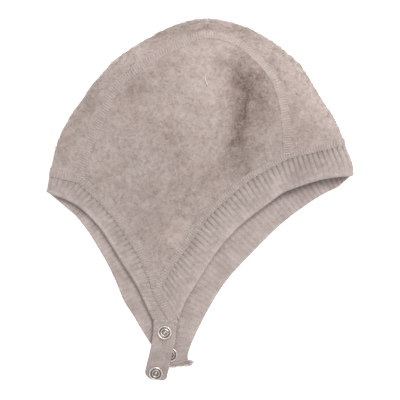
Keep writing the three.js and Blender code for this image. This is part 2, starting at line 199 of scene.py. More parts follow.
# Creases and ridges: start, bend, end, depth and width, the last two as shares of the length
CREASE_ROWS = [
    ([0.104, 0.380], [0.162, 0.257], [0.065, 0.095], 0.019, 0.026),
    ([-0.035, 0.388], [0.097, 0.188], [-0.003, 0.060], -0.010, 0.055),
    ([0.200, 0.290], [0.250, 0.200], [0.180, 0.100], -0.009, 0.040),
    ([-0.290, 0.180], [-0.230, 0.080], [-0.130, -0.060], 0.008, 0.090),
]
# Where shade is painted into the near layer's colour, along the crease and over other parts of the
# crown, with how dark in place of the depth
PAINTED_SHADES = [
    ([0.145, 0.330], [0.140, 0.170], [0.066, 0.090], 0.45, 0.024),
    ([0.090, 0.385], [0.230, 0.370], [0.210, 0.200], 0.60, 0.070),
    ([0.120, 0.350], [0.170, 0.190], [0.110, 0.060], 0.50, 0.060),
    ([0.030, 0.385], [0.110, 0.370], [0.180, 0.300], 0.35, 0.040),
    ([-0.100, -0.020], [0.060, 0.090], [0.180, 0.110], 0.30, 0.045),
    ([-0.290, 0.230], [-0.180, 0.330], [-0.060, 0.380], 0.30, 0.035),
    ([-0.120, 0.220], [-0.060, 0.160], [-0.060, 0.060], 0.30, 0.045),
    ([-0.240, -0.020], [-0.150, -0.140], [-0.100, -0.130], 0.15, 0.030),
    ([-0.210, 0.440], [0.016, 0.510], [0.200, 0.440], 0.50, 0.035),
    ([-0.450, 0.110], [-0.400, 0.260], [-0.280, 0.360], 0.25, 0.035),
]
NEAR_LEVEL = 4
# Finer creases of the fleece's face, which the solids leave out
FINE_CREASES = [
    ([0.100, 0.375], [0.150, 0.330], [0.150, 0.270], 0.0045, 0.010),
    ([0.155, 0.300], [0.140, 0.240], [0.137, 0.190], 0.0075, 0.010),
    ([0.175, 0.300], [0.215, 0.240], [0.190, 0.190], 0.0035, 0.008),
    ([0.137, 0.190], [0.120, 0.140], [0.072, 0.100], 0.0060, 0.012),
    ([0.040, 0.330], [0.070, 0.260], [0.050, 0.190], 0.0025, 0.012),
    ([-0.120, 0.280], [-0.060, 0.230], [0.000, 0.240], 0.0025, 0.014),
    ([-0.050, 0.050], [-0.040, -0.020], [-0.080, -0.080], 0.0030, 0.016),
    ([0.230, 0.200], [0.240, 0.160], [0.235, 0.120], 0.0030, 0.010),
]


def smooth(x, low, high):
    t = np.clip((x - low) / (high - low), 0, 1)
    return t * t * (3 - 2 * t)


def mix(a, b, t):
    return a + (b - a) * t


def unit(v):
    return v / np.maximum(np.linalg.norm(v, axis=-1, keepdims=True), 1e-12)


def between(at, places, values):
    """Rows of values, interpolated between the places where they are known."""
    return np.stack([np.interp(at, places, column) for column in values.T], -1)


def run_length(points):
    """The length along a line of points, from 0 at its first."""
    return np.concatenate([[0], np.cumsum(np.linalg.norm(np.diff(points, axis=0), axis=-1))])


class Curve:
    """A centripetal Catmull-Rom curve, with its parameter running evenly from point to point."""

    def __init__(self, points):
        points = np.asarray(points, float)
        first, last = 2 * points[0] - points[1], 2 * points[-1] - points[-2]
        self.points = np.vstack([first, points, last])

    def at(self, t):
        spans = len(self.points) - 3
        place = np.clip(np.asarray(t, float), 0, 1) * spans
        span = np.minimum(place.astype(int), spans - 1)
        w = (place - span)[..., None]
        p0, p1, p2, p3 = (self.points[span + k] for k in range(4))
        d0, d1, d2 = (
            np.sqrt(np.linalg.norm(b - a, axis=-1, keepdims=True))
            for a, b in ((p0, p1), (p1, p2), (p2, p3))
        )
        m1 = ((p1 - p0) / d0 - (p2 - p0) / (d0 + d1) + (p2 - p1) / d1) * d1
        m2 = ((p2 - p1) / d1 - (p3 - p1) / (d1 + d2) + (p3 - p2) / d2) * d1
        return p1 + w * (m1 + w * (3 * (p2 - p1) - 2 * m1 - m2 + w * (2 * (p1 - p2) + m1 + m2)))


def nearest(path, points):
    """How far each point lies from a path, and the share of its steps where it is nearest."""
    start, step = path[:-1], np.diff(path, axis=0)
    away = points[:, None] - start
    t = np.clip((away * step).sum(-1) / (step ** 2).sum(-1), 0, 1)
    squares = ((away - t[..., None] * step) ** 2).sum(-1)
    best = squares.argmin(1)
    rows = np.arange(len(points))
    return np.sqrt(squares[rows, best]), (best + t[rows, best]) / len(step)


# The fold and the edges of the layers
edge_curve = Curve(CENTRE_ROWS[:, EDGE] * SCALE)
near_seam_curve = Curve(CENTRE_ROWS[:, NEAR] * SCALE)
far_seam_curve = Curve(CENTRE_ROWS[:, FAR] * SCALE)
nape_corner = NAPE_CORNER * SCALE + [LAY_MID, 0]
front_corner = FRONT_CORNER * SCALE - [LAY_MID, 0]


def fold_point(s):
    step = 1e-4
    ahead, behind = edge_curve.at(np.minimum(s + step, 1)), edge_curve.at(np.maximum(s - step, 0))
    tangent = unit(ahead - behind)
    inward = np.stack([tangent[..., 1], -tangent[..., 0]], -1)
    return edge_curve.at(s) + inward * LAY_MID


fold_line = fold_point(np.linspace(0, 1, FOLD_STEPS + 1))
corner_steps = np.linspace(0, 1, 3 * COARSE_STEP + 1)[:-1, None]


def bow_at(share):
    """How far the front fold bows out, at a share of the way from its seam to its rim."""
    return FRONT_BOW * np.sin(math.pi * share ** BOW_PEAK)


bowed_front = mix(front_corner, fold_line[-1], corner_steps)
bowed_front[:, 0] += bow_at(1 - corner_steps[:, 0])
fold_path = np.vstack([
    mix(nape_corner, fold_line[0], corner_steps),
    fold_line,
    bowed_front[::-1],
])


def fold_distance(points):
    """The distance to the fold's line, looked for near the closest of its coarse steps."""
    found = []
    around = np.arange(-COARSE_STEP, COARSE_STEP)
    for first in range(0, len(points), 4096):
        part = points[first:first + 4096, None]
        coarse = ((part - fold_path[::COARSE_STEP]) ** 2).sum(-1).argmin(1) * COARSE_STEP
        at = np.clip(coarse[:, None] + around, 0, len(fold_path) - 2)
        step = fold_path[at + 1] - fold_path[at]
        away = part - fold_path[at]
        t = np.clip((away * step).sum(-1) / (step ** 2).sum(-1), 0, 1)
        found.append(np.sqrt(((away - t[..., None] * step) ** 2).sum(-1).min(1)))
    return np.maximum(np.concatenate(found) - FOLD_SLACK, 0)


class BandHalf:
    """The plan of a band's two edges, from the fold (0) to the chin (1)."""

    def __init__(self, fold_seam, fold_rim, rows, lap_rows, lap_end, rim_lift=0):
        self.fold = fold_seam, fold_rim
        self.rim_lift = rim_lift
        self.seam_curve = Curve(rows[:, SEAM] * SCALE)
        self.rim_curve = Curve(np.vstack([rows[:, RIM], *lap_rows]) * SCALE)
        self.end = lap_end * SCALE
        self.tip_share = (len(rows) - 1) / (len(rows) + len(lap_rows) - 1)
        self.tip_at = mix(FOLD_SHARE, 1, self.tip_share)

    def at(self, h):
        h = np.asarray(h, float)[..., None]
        reach = self.from_fold(h)
        t = np.clip((h[..., 0] - FOLD_SHARE) / (1 - FOLD_SHARE), 0, 1)
        lap = np.clip((t - self.tip_share) / max(1 - self.tip_share, 1e-9), 0, 1)[..., None]
        seam = mix(self.seam_curve.at(t / self.tip_share), self.end, lap)
        rim = self.rim_curve.at(t)
        on_fold = h < FOLD_SHARE
        lift = self.rim_lift * np.sin(math.pi * reach) * [0, 1]
        return (
            np.where(on_fold, mix(self.fold[0], seam, reach), seam),
            np.where(on_fold, mix(self.fold[1], rim, reach) + lift, rim),
        )

    def from_fold(self, h):
        """The share of the way from the fold to where the band has turned round it."""
        return 1 - np.cos(np.minimum(h / FOLD_SHARE, 1) * (math.pi / 2))


nape_near = BandHalf(fold_line[0], nape_corner, NAPE_NEAR_ROWS, NAPE_NEAR_LAP, NEAR_LAP_END)
nape_far = BandHalf(fold_line[0], nape_corner, NAPE_FAR_ROWS, NAPE_FAR_LAP, FAR_LAP_END)
front_near = BandHalf(fold_line[-1], front_corner, FRONT_NEAR_ROWS, [], NEAR_LAP_END, RIM_BOW)
front_far = BandHalf(fold_line[-1], front_corner, FRONT_FAR_ROWS, FRONT_FAR_LAP, FAR_LAP_END)

chin_middle = (NEAR_TAB_ROWS[0, SEAM] + NEAR_TAB_ROWS[0, RIM]) / 2 * SCALE
rim_paths = [
    np.vstack([half.at(np.linspace(0, 1, RIM_STEPS + 1))[1], chin_middle])
    for half in (nape_near, front_near)
]


def crease_path(row):
    start, bend, end = (np.array(p) * SCALE for p in row[:3])
    t = np.linspace(0, 1, 17)[:, None]
    return (1 - t) ** 2 * start + 2 * t * (1 - t) * bend + t ** 2 * end


def crease_depth(points, rows):
    total = np.zeros(len(points))
    for row in rows:
        distance, share = nearest(crease_path(row), points)
        fade = np.sqrt(4 * share * (1 - share))
        total += row[3] * CAP_LENGTH * fade * np.exp(-(distance / (row[4] * CAP_LENGTH)) ** 2)
    return total


def layer_spread(points):
    x, y = points[:, 0], points[:, 1]
    sideways = smooth(x, -CAP_LENGTH / 2, CAP_LENGTH / 2)
    parting_y = mix(NAPE_PARTING_Y, FRONT_PARTING_Y, sideways)
    at_band = mix(NAPE_FOLD, FRONT_FOLD, sideways)
    low = mix(CHIN_SPREAD, at_band, smooth(y, parting_y, BAND_FOLD_Y))
    return mix(low, CROWN_FOLD, smooth(y, BAND_FOLD_Y, CROWN_FOLD_Y))


def turned(distance, radius):
    return np.sqrt(1 - (1 - np.clip(distance / radius, 0, 1)) ** 2)


def rim_distance(points):
    nearness = sum(np.exp(-nearest(path, points)[0] / RIM_BLEND) for path in rim_paths)
    return -RIM_BLEND * np.log(nearness)


def near_height(plan):
    points = plan.reshape(-1, 2)
    fold = fold_distance(points)
    radius = layer_spread(points) / 2
    from_fold = 1 - (1 - np.clip(fold / DOME_REACH, 0, 1)) ** 2
    from_rim = smooth(rim_distance(points), 0, RIM_REACH)
    creases = crease_depth(points, CREASE_ROWS)
    dome = (CROWN_PUFF - creases) * from_fold * from_rim
    fine = crease_depth(points, FINE_CREASES) * smooth(fold, 0, 8) * from_rim ** 0.3
    z = LAY_MID + radius * (1 + turned(fold, radius)) + dome - fine
    return z.reshape(plan.shape[:-1])


def far_height(plan):
    points = plan.reshape(-1, 2)
    radius = layer_spread(points) / 2
    z = LAY_MID + radius * (1 - turned(fold_distance(points), radius))
    return z.reshape(plan.shape[:-1])


def with_height(plan, height):
    return np.concatenate([plan, height(plan)[..., None]], -1)


def by_layer(plan, on_near):
    near, far = with_height(plan, near_height), with_height(plan, far_height)
    return np.where(on_near[..., None], near, far)


# Mid surfaces of the pieces of cloth, each a function of two parameters
def centre_surface(s, c):
    on_near = c > 0
    seam = np.where(on_near[..., None], near_seam_curve.at(s), far_seam_curve.at(s))
    reach = (1 - np.cos(np.abs(c) * (math.pi / 2)))[..., None]
    return by_layer(mix(fold_point(s), seam, reach), on_near)


def side_surface(top_seam, nape_rows, front_rows, height):
    nape_curve = Curve(nape_rows[:, SEAM] * SCALE)
    front_curve = Curve(front_rows[:, SEAM] * SCALE)

    def surface(s, t):
        on_nape = (s < TIP_AT)[..., None]
        from_front = (1 - s) / (1 - TIP_AT)
        bottom = np.where(on_nape, nape_curve.at(s / TIP_AT), front_curve.at(from_front))
        return with_height(mix(top_seam.at(s), bottom, t[..., None]), height)

    return surface


def band_surface(near_half, far_half, bow_of):
    def surface(k, w):
        on_near = k < 1
        near_edges = near_half.at(np.clip(1 - k, 0, 1))
        far_edges = far_half.at(np.clip(k - 1, 0, 1))
        pairs = zip(near_edges, far_edges)
        seam, rim = (np.where(on_near[..., None], near, far) for near, far in pairs)
        plan = mix(seam, rim, w[..., None])
        plan[..., 0] += bow_of(w) * (1 - near_half.from_fold(np.abs(k - 1)))
        return by_layer(plan, on_near)

    return surface


def tab_surface(rows, mid, lift):
    z = (mid + rows[:, 4] * lift)[:, None]
    left = Curve(np.hstack([rows[:, SEAM] * SCALE, z]))
    right = Curve(np.hstack([rows[:, RIM] * SCALE, z]))

    def surface(a, b):
        start, soon = (mix(left.at(t), right.at(t), b[..., None]) for t in (a * 0, a * 0 + 0.02))
        beyond = np.minimum(a, 0)[..., None] / 0.02
        return mix(left.at(a), right.at(a), b[..., None]) + beyond * (soon - start)

    return surface


tab_half = RIB_THICK / 2
far_tab_mid = SNAP_BASE_HEIGHT + REST_GAP + tab_half
near_tab_mid = far_tab_mid + 2 * tab_half + 2 * REST_GAP + SNAP_RING_HEIGHT
near_tab = tab_surface(NEAR_TAB_ROWS, CHIN_MID, near_tab_mid - CHIN_MID)
far_tab = tab_surface(FAR_TAB_ROWS, LAY_MID, far_tab_mid - LAY_MID)
near_side = side_surface(near_seam_curve, NAPE_NEAR_ROWS, FRONT_NEAR_ROWS, near_height)
far_side = side_surface(far_seam_curve, NAPE_FAR_ROWS, FRONT_FAR_ROWS, far_height)
nape_band = band_surface(nape_near, nape_far, lambda w: 0 * w)
front_band = band_surface(front_near, front_far, bow_at)


# Meshes
LATTICE = 32
lattice = random.random((LATTICE, LATTICE, LATTICE))


def noise(points, size):
    """Smooth noise from -1 to 1 whose lumps measure about this size."""
    place = points / size
    cell = np.floor(place).astype(int)
    t = place - cell
    t = t * t * (3 - 2 * t)
    total = 0
    for corner in np.ndindex(2, 2, 2):
        weight = np.prod(np.where(np.array(corner) == 1, t, 1 - t), axis=-1)
        at = (cell + corner) % LATTICE
        total = total + weight * lattice[at[..., 0], at[..., 1], at[..., 2]]
    return 2 * total - 1


def add(name, data):
    thing = bpy.data.objects.new(name, data)
    bpy.context.scene.collection.objects.link(thing)
    return thing


def make_object(name, points, faces, material, cloth_map=None, dark=None):
    mesh = bpy.data.meshes.new(name)
    mesh.from_pydata(metres(points).tolist(), [], faces)
    mesh.shade_smooth()
    mesh.materials.append(material)
    if cloth_map is not None:
        corners = np.empty(len(mesh.loops), np.int32)
        mesh.loops.foreach_get("vertex_index", corners)
        layer = mesh.uv_layers.new(name="cloth")
        layer.uv.foreach_set("vector", cloth_map[corners].astype(np.float32).ravel())
    if dark is not None:
        values = mesh.attributes.new("dark", "FLOAT", "POINT").data
        values.foreach_set("value", dark.astype(np.float32))
    return add(name, mesh)


def ride(piece, slot, *nodes):
    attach(piece, "root")
    if nodes:
        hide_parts(*nodes)


def closed_slab(top, bottom):
    """The corners, faces and grid places of a slab whose two layers meet along their edges."""
    columns, rows = top.shape[:2]
    index = np.arange(columns * rows).reshape(columns, rows)
    under = index.copy()
    inner = index[:-2, :-2].size
    under[1:-1, 1:-1] = columns * rows + np.arange(inner).reshape(columns - 2, rows - 2)

    def quads(grid):
        corners = [grid[:-1, :-1], grid[1:, :-1], grid[1:, 1:], grid[:-1, 1:]]
        return np.stack(corners, -1).reshape(-1, 4)

    points = np.vstack([top.reshape(-1, 3), bottom[1:-1, 1:-1].reshape(-1, 3)])
    return points, np.vstack([quads(index), quads(under)[:, ::-1]])


def cloth_normals(points, outward):
    along, across = np.gradient(points, axis=0), np.gradient(points, axis=1)
    return unit(np.cross(along, across)) * outward


def run_lengths(points):
    """The length along each column of a grid of points, from 0 at its first row."""
    steps = np.linalg.norm(np.diff(points, axis=0), axis=-1)
    return np.vstack([np.zeros(points.shape[1]), np.cumsum(steps, axis=0)])


class Cloth:
    """The two faces of a piece of cloth over a grid, rounded off along its edges."""

    def __init__(self, surface, u, v, thickness, outward, relief=None, under_relief=None):
        mid = surface(u, v)
        self.normal = cloth_normals(mid, outward)
        self.outward = outward
        from_start = run_lengths(mid)
        from_side = run_lengths(mid.swapaxes(0, 1)).T
        self.across = from_side
        self.to_edge = np.minimum.reduce([
            from_start, from_start[-1:] - from_start, from_side, from_side[:, -1:] - from_side,
        ])
        half = thickness / 2
        swell = turned(self.to_edge, half)[..., None]
        if relief is None:
            lumpy = sum(height * noise(mid, size) for size, height in LUMP_SIZES.items())
            relief = lumpy * smooth(self.to_edge, SEAM_HALF - 1, SEAM_HALF + 3)
            under_relief = 0.5 * relief
        self.top = mid + self.normal * swell * (half + relief)[..., None]
        self.bottom = mid - self.normal * swell * (half + under_relief)[..., None]
        for face in (self.top, self.bottom):
            face[..., 2] = np.maximum(face[..., 2], FLOOR_CLEARANCE)

    def piece(self, name, material, phase=None, dark=None):
        points, faces = closed_slab(self.top, self.bottom)
        if self.outward < 0:
            faces = faces[:, ::-1]
        if phase is not None:
            place = np.stack([np.broadcast_to(phase, self.across.shape), self.across], -1)
            phase = np.vstack([place.reshape(-1, 2), place[1:-1, 1:-1].reshape(-1, 2)])
        if dark is not None:
            dark = np.concatenate([dark.ravel(), dark[1:-1, 1:-1].ravel()])
        return make_object(name, points, faces.tolist(), material, phase, dark)


def ring_quads(index):
    """The faces between rings of corners, each ring being a row of the last two axes."""
    turn = np.roll(index, -1, axis=-1)
    corners = [index[..., :-1, :], index[..., 1:, :], turn[..., 1:, :], turn[..., :-1, :]]
    return np.stack(corners, -1).reshape(-1, 4)


def tubes(paths, up, radii, sides):
    """Round tubes along many paths of as many points each, all closed at both ends."""
    tangent = unit(np.gradient(paths, axis=1))
    side = unit(np.cross(tangent, up))
    lift = np.cross(side, tangent)
    angle = np.arange(sides) * 2 * math.pi / sides
    ring = side[:, :, None] * np.cos(angle)[:, None] + lift[:, :, None] * np.sin(angle)[:, None]
    radii = np.broadcast_to(np.asarray(radii, float), paths.shape[:2])
    points = paths[:, :, None] + ring * radii[..., None, None]
    count, steps = paths.shape[:2]
    index = np.arange(count * steps * sides).reshape(count, steps, sides)
    caps = np.vstack([index[:, 0, :], index[:, -1, ::-1]])
    return points.reshape(-1, 3), ring_quads(index).tolist() + caps.tolist()


# Materials
def linear(*srgb):
    """A colour given in sRGB from 0 to 255, as linear values."""
    values = np.array(srgb) / 255
    return tuple(np.where(values <= 0.04045, values / 12.92, ((values + 0.055) / 1.055) ** 2.4))


# Painted shade in the ribs' furrows, beside the seams and on the nap fibres; on the tabs a steady
# darkening of their knit
SHADE_AND_TONE_TINT = linear(176, 172, 170)
# Painted shade on the fleece
PAINTED_FLEECE_SHADE_TINT = linear(170, 158, 150)
# Painted shade in the snaps' grooves
GROOVE_SHADE_TINT = linear(176, 163, 155)


class Finish:
    """A material's node tree, with short calls to add nodes to it."""

    def __init__(self, name, roughness, metallic=0.0, sheen=0.0):
        self.material = bpy.data.materials.new(name)
        self.material.use_nodes = True
        self.tree = self.material.node_tree
        self.shader = self.tree.nodes["Principled BSDF"]
        self.set(self.shader, Roughness=roughness, Metallic=metallic)
        if sheen:
            self.set(self.shader, **{"Sheen Weight": sheen, "Sheen Roughness": 0.45})

    def put(self, socket, value):
        if isinstance(value, bpy.types.NodeSocket):
            self.tree.links.new(value, socket)
        else:
            socket.default_value = value

    def set(self, node, **values):
        for name, value in values.items():
            self.put(node.inputs[name], value)
        return node

    def node(self, kind, **values):
        return self.set(self.tree.nodes.new("ShaderNode" + kind), **values)

    def math(self, operation, a, b=0.5):
        node = self.tree.nodes.new("ShaderNodeMath")
        node.operation = operation
        for socket, value in zip(node.inputs, (a, b)):
            self.put(socket, value)
        return node.outputs[0]

    def place(self):
        return self.node("TexCoord").outputs["Object"]

    def cloth_map(self):
        node = self.node("UVMap")
        node.uv_map = "cloth"
        return node.outputs["UV"]

    def dark(self):
        """How much darker the colour is painted, from 0 to 1, which the mesh says: painted shade
        on the fleece, the nap, the bands and the snaps, and a steady darkening of the tabs' knit.
        """
        node = self.node("Attribute")
        node.attribute_name = "dark"
        return node.outputs["Fac"]

    def noise(self, place, size, detail=2.0, distortion=0.0):
        """Noise whose lumps measure about this many millimetres."""
        values = {"Vector": place, "Detail": detail, "Distortion": distortion}
        return self.node("TexNoise", Scale=1 / (size * MM), **values).outputs["Fac"]

    def blend(self, parts):
        """The sum of signals, each times its weight."""
        total = 0.0
        for signal, weight in parts:
            total = self.math("ADD", self.math("MULTIPLY", signal, weight), total)
        return total

    def ramp(self, signal, stops):
        node = self.node("ValToRGB", Fac=signal)
        elements = node.color_ramp.elements
        while len(elements) < len(stops):
            elements.new(0.5)
        for element, (position, colour) in zip(elements, stops):
            element.position = position
            element.color = (*colour, 1)
        return node.outputs["Color"]

    def tint(self, colour, by, share):
        """The colour, multiplied by another to the share that a signal gives."""
        node = self.tree.nodes.new("ShaderNodeMix")
        node.data_type = "RGBA"
        node.blend_type = "MULTIPLY"
        factor, first, second = node.inputs[0], node.inputs[6], node.inputs[7]
        self.tree.links.new(share, factor)
        self.tree.links.new(colour, first)
        second.default_value = (*by, 1)
        return node.outputs[2]

    def bump(self, height, distance, strength=1.0, normal=None):
        values = {"Height": height, "Distance": distance * MM, "Strength": strength}
        if normal is not None:
            values["Normal"] = normal
        return self.node("Bump", **values).outputs["Normal"]


def fleece_finish(name, dark, middle, light, warm):
    """Brushed wool: heather colours in patches, clumps of nap, and flecks of single fibres."""
    finish = Finish(name, 1.0, sheen=0.2)
    place = finish.place()
    tint = finish.noise(place, 17, 2.0, 0.5)
    patches = finish.noise(place, 24, 2.0, 0.6)
    clumps = finish.noise(place, 4.6, 3.0, 1.0)
    pits = finish.noise(place, 1.7, 3.0, 0.8)
    flecks = finish.noise(place, 0.8, 3.0, 1.5)
    shade = finish.blend([(patches, 0.3), (clumps, 0.36), (pits, 0.2), (flecks, 0.14)])
    colour = finish.ramp(shade, [(0.35, dark), (0.5, middle), (0.65, light)])
    warmth = finish.math("MULTIPLY", finish.ramp(tint, [(0.4, (0, 0, 0)), (0.62, (1, 1, 1))]), 0.5)
    in_pits = finish.ramp(pits, [(0.38, (1, 1, 1)), (0.62, (0.65, 0.65, 0.65))])
    # Painted shade from the mesh, broken up by the pits
    painted_shade = finish.math("MULTIPLY", finish.dark(), in_pits)
    tinted = finish.tint(finish.tint(colour, warm, warmth), PAINTED_FLEECE_SHADE_TINT, painted_shade)
    rough = finish.bump(flecks, 0.3, 0.3)
    rough = finish.bump(pits, 0.6, 0.45, rough)
    rough = finish.bump(clumps, 0.9, 0.6, rough)
    finish.set(finish.shader, **{"Base Color": tinted, "Normal": rough})
    return finish.material


def rib_finish(name, dark, middle, light):
    """Rib knit: small slanted stitches up each rib, and shade painted into the furrows between the
    ribs.
    """
    finish = Finish(name, 1.0, sheen=0.15)
    place = finish.place()
    map_node = finish.node("SeparateXYZ", Vector=finish.cloth_map())
    rib_place = finish.math("FRACT", map_node.outputs["X"])
    off_ridge = finish.math("ABSOLUTE", finish.math("SUBTRACT", rib_place, 0.5))
    slant = finish.math("MULTIPLY", off_ridge, 5.0)
    course = finish.math("MULTIPLY", map_node.outputs["Y"], 5.2)
    stitches = finish.math("SINE", finish.math("ADD", course, slant))
    patches = finish.noise(place, 16, 2.0, 0.6)
    clumps = finish.noise(place, 5, 3.0, 0.8)
    flecks = finish.noise(place, 0.8, 4.0, 1.5)
    # Painted shade along the edges of each rib, in the furrows
    furrow = finish.math("POWER", finish.math("MULTIPLY", off_ridge, 2.0), 6.0)
    parts = [(patches, 0.28), (clumps, 0.3), (flecks, 0.42), (stitches, 0.012), (furrow, -0.06)]
    colour = finish.ramp(finish.blend(parts), [(0.37, dark), (0.5, middle), (0.62, light)])
    # Painted shade from the mesh, and the tabs' steady darkening
    colour = finish.tint(colour, SHADE_AND_TONE_TINT, finish.dark())
    rough = finish.bump(stitches, 0.08, 0.4)
    rough = finish.bump(flecks, 0.35, 0.6, rough)
    finish.set(finish.shader, **{"Base Color": colour, "Normal": rough})
    return finish.material


def yarn_finish(name, dark, light, sheen):
    """Loose fibres and sewing thread: a twist too fine to model, and two tones of the yarn."""
    finish = Finish(name, 0.9, sheen=sheen)
    place = finish.place()
    tone = finish.noise(place, 2.5, 2.0)
    twist = finish.noise(place, 0.3, 2.0)
    colour = finish.ramp(tone, [(0.35, dark), (0.65, light)])
    # The colour takes the painted shade that the nap fibres carry
    finish.set(finish.shader, **{
        "Base Color": finish.tint(colour, SHADE_AND_TONE_TINT, finish.dark()),
        "Normal": finish.bump(twist, 0.06, 0.6),
    })
    return finish.material


def metal_finish():
    """Bare pressed metal with faint wear: patches of tone and roughness."""
    finish = Finish("snap_steel", 0.34, 1.0)
    place = finish.place()
    wear = finish.noise(place, 1.6, 2.0, 0.2)
    tone = finish.ramp(wear, [(0.35, linear(196, 191, 187)), (0.65, linear(224, 220, 216))])
    # Painted shade in the grooves and dimple
    tone = finish.tint(tone, GROOVE_SHADE_TINT, finish.dark())
    roughness = finish.math("ADD", finish.math("MULTIPLY", wear, 0.1), 0.3)
    finish.set(finish.shader, **{"Base Color": tone, "Roughness": roughness})
    return finish.material


fleece = fleece_finish(
    "wool_fleece",
    dark=linear(150, 135, 129),
    middle=linear(171, 157, 151),
    light=linear(187, 174, 168),
    warm=(1.0, 0.96, 0.94),
)
seam_cloth = fleece_finish(
    "seam_wool",
    dark=linear(148, 134, 129),
    middle=linear(167, 153, 147),
    light=linear(183, 169, 163),
    warm=(1.0, 0.98, 0.98),
)
rib_knit = rib_finish(
    "wool_rib",
    dark=linear(157, 143, 138),
    middle=linear(177, 163, 158),
    light=linear(193, 179, 174),
)
rib_knit_plain = fleece_finish(
    "wool_rib_plain",
    dark=linear(148, 134, 130),
    middle=linear(168, 155, 150),
    light=linear(184, 171, 167),
    warm=(1.0, 0.97, 0.96),
)
nap_yarn = yarn_finish("wool_nap", linear(158, 143, 136), linear(194, 180, 173), 0.15)
frayed_yarn = yarn_finish("frayed_wool", linear(186, 172, 166), linear(212, 200, 194), 0.1)
sewing_thread = yarn_finish("sewing_thread", linear(176, 163, 158), linear(199, 187, 182), 0.1)
lint = yarn_finish("pale_lint", linear(214, 206, 200), linear(235, 230, 226), 0.1)
steel = metal_finish()


# Fleece panels
def painted_nap_shade(points, rows):
    """Painted shade on the near layer's colour, from 0 to 1, along the rows of a table."""
    plan = points[..., :2].reshape(-1, 2)
    shade = crease_depth(plan, rows) / CAP_LENGTH * (points[..., 2].ravel() > NEAR_LEVEL)
    shade = shade * (1 + 0.35 * noise(points.reshape(-1, 3), 5))
    return np.clip(shade, 0, 1).reshape(points.shape[:-1])


def panel(name, surface, span, columns, trim, outward, node):
    """A fleece panel whose rows of corners are evenly spaced in every column."""
    u = np.linspace(trim, 1 - trim, columns + 1)
    fine = np.linspace(*span, 129)
    lines = surface(*np.meshgrid(u, fine, indexing="ij"))
    lengths = [run_length(line) for line in lines]
    half = FLEECE_THICK / 2
    turn = half * (1 - np.cos(np.linspace(0, math.pi / 2, EDGE_TURNS + 1)))[:-1]
    inner = round(max(length[-1] for length in lengths) / CLOTH_STEP)
    v = []
    for length in lengths:
        total = length[-1] - SEAM_GAP
        middle = np.linspace(half, total - half, inner + 1)
        wanted = np.concatenate([turn, middle, (total - turn)[::-1]]) + SEAM_GAP / 2
        v.append(np.interp(wanted, length, fine))
    grid_u = np.repeat(u[:, None], len(v[0]), axis=1)
    cloth = Cloth(surface, grid_u, np.array(v), FLEECE_THICK, outward)
    # Painted shade where the table puts it
    cloth.dark = painted_nap_shade(cloth.top, PAINTED_SHADES)
    piece = cloth.piece(name, fleece, dark=cloth.dark)
    ride(piece, "wool_fleece", node)
    return cloth


panel(
    "far_side_fleece", far_side,
    span=(0, 1), columns=70, trim=0.012, outward=1, node="far_side_panel",
)
centre_cloth = panel(
    "centre_fleece", centre_surface,
    span=(-1, 1), columns=280, trim=0.002, outward=-1, node="centre_panel",
)
near_cloth = panel(
    "near_side_fleece", near_side,
    span=(0, 1), columns=200, trim=0.012, outward=-1, node="near_side_panel",
)


# Rib-knit bands
def rib_ridge(phase):
    """From 1 along the middle of a rib to -1 in the furrow beside it."""
    return 1 - 2 * np.abs(2 * (phase % 1) - 1) ** 2.5


def band(name, surface, outward, furrow_shade, node):
    """A rib-knit band: ribs across it, and a thicker, rounded rim where the knit is folded."""
    fine = np.linspace(0, 2, 1601)
    length = run_length(surface(fine, np.full_like(fine, 0.5)))
    ribs = round(length[-1] / RIB_PITCH)
    trim = 0.5 * SEAM_GAP / length[-1]
    phase = np.linspace(0, ribs, ribs * RIB_STEPS + 1)
    k = np.interp(mix(trim, 1 - trim, phase / ribs) * length[-1], length, fine)
    middle = np.linspace(0.07, 0.9, 16)
    rows = np.concatenate([[0, 0.01, 0.03], middle, [0.93, 0.96, 0.98, 0.995, 1]])
    u, v = np.meshgrid(k, rows, indexing="ij")
    wander = noise(np.stack([phase * RIB_PITCH, phase * 0, phase * 0], -1), 9)[:, None]
    fade = mix(1.0, 0.35, smooth(v, 0.1, 0.85)) * (1 + 0.35 * wander)
    near_fade = mix(1, 0.6, smooth(1 - u, 0.5, 0.95))
    far_fade = mix(1, 0.25, smooth(u - 1, 0.25, 0.55))
    to_chin = np.where(u < 1, near_fade, far_fade)
    fade = fade * to_chin
    ribbing = RIB_DEPTH * fade * rib_ridge(phase)[:, None]
    rim = RIM_ROLL * np.exp(-((v - 0.92) / 0.06) ** 2)
    sides = [ribbing + rim, 0.8 * ribbing + 0.3 * rim]
    cloth = Cloth(surface, u, v, RIB_THICK, outward, *sides)
    # Shade painted into the colour: in the furrows, beside the seam and all over but the folded
    # rim, which is left lighter as if lit
    in_furrow = (0.5 - 0.5 * rib_ridge(phase))[:, None]
    from_rim = 1 - smooth(v, 0.78, 0.93)
    across = 1 - np.where(u < 1, 1, 0.45) * smooth(v, 0.1, 0.85)
    shade = furrow_shade * in_furrow * across + 0.25 * (1 - smooth(v, 0.0, 0.35))
    cloth.dark = np.clip(shade * to_chin + 0.15 * from_rim, 0, 1)
    piece = cloth.piece(name, rib_knit, phase[:, None], cloth.dark)
    ride(piece, "wool_rib", node)
    return cloth


front_cloth = band(
    "front_rib", front_band,
    outward=-1, furrow_shade=0.5, node="front_band",
)
nape_cloth = band(
    "nape_rib", nape_band,
    outward=1, furrow_shade=0.25, node="nape_band",
)


# Chin tabs
TAB_DARKNESS = 0.3  # the tabs' knit is a little darker than the bands'


